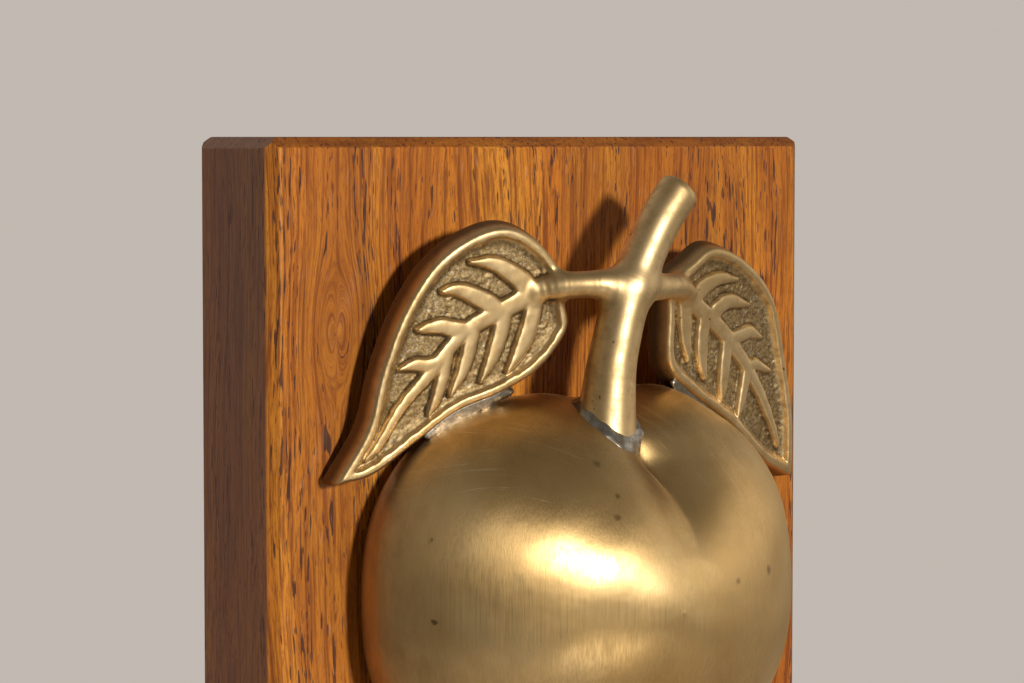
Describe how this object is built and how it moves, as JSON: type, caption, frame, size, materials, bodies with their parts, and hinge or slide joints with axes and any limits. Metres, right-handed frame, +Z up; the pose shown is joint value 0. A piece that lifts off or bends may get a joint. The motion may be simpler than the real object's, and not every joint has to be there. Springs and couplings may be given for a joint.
{
  "type": "ink blotter",
  "caption": "Hand rocker blotter stood on its short end: a varnished hardwood cover board, a cast brass peach with stem and leaves as its turning handle, a paper-covered rocker behind.",
  "frame": {"origin": "centre of the cover board's bottom end face, where it stands", "axes": "+Z up along the board's length, -Y toward the peach side, +X to the right seen from the peach side; the handle axis runs along Y through the board's middle"},
  "size_m": [0.08, 0.0627, 0.112],
  "materials": {
    "varnished_board": "varnished hardwood, straight grain with long dark pores, satin gloss",
    "rocker_wood": "oiled hardwood of the same kind, duller",
    "cast_brass": "cast brass, brushed by hand, aged brown in the hollows",
    "relief_brass": "cast brass, polished ribs over a sandy, darkened ground",
    "soft_solder": "grey soft solder, dull and slightly lumpy",
    "turned_brass": "turned brass, fine tool marks",
    "steel": "plain zinc-coated steel hardware",
    "spring_steel": "blackened spring steel",
    "fibre": "dark vulcanised fibre washer",
    "felt": "green wool felt pad",
    "blotting_paper": "thick unsized paper, off-white, matt"
  },
  "bodies": {
    "cover": {"cover_board": "varnished_board", "cover_bush": "turned_brass", "guide_pins": "turned_brass", "thrust_washer": "fibre"},
    "handle": {"peach_shell": "cast_brass", "stem_and_leaves": "relief_brass", "stem_solder": "soft_solder", "leaf_solder_left": "soft_solder", "leaf_solder_right": "soft_solder", "handle_bridge": "turned_brass", "bridge_solder": "soft_solder", "spindle": "steel", "lock_washer": "steel", "lock_nut": "steel", "rear_washer": "steel", "retaining_ring": "spring_steel"},
    "rocker": {"rocker_block": "rocker_wood", "rocker_plate": "steel", "thread_insert": "turned_brass", "rocker_screws": "steel", "guide_sleeves": "turned_brass", "sole_felt": "felt", "blotting_sheet_inner": "blotting_paper", "blotting_sheet_outer": "blotting_paper"}
  },
  "joints": [
    {"name": "handle_turn", "type": "hinge", "parent": "cover", "child": "handle", "pos_m": [0, 0, 0.056], "axis": [0, -1, 0], "range_deg": [0, 2160]},
    {"name": "rocker_slide", "type": "slide", "parent": "cover", "child": "rocker", "axis": [0, 1, 0], "range_m": [0, 0.0076]}
  ],
  "couplings": [
    {"joint": "rocker_slide", "follows": "handle_turn", "m_per_rad": 0.00019894}
  ]
}
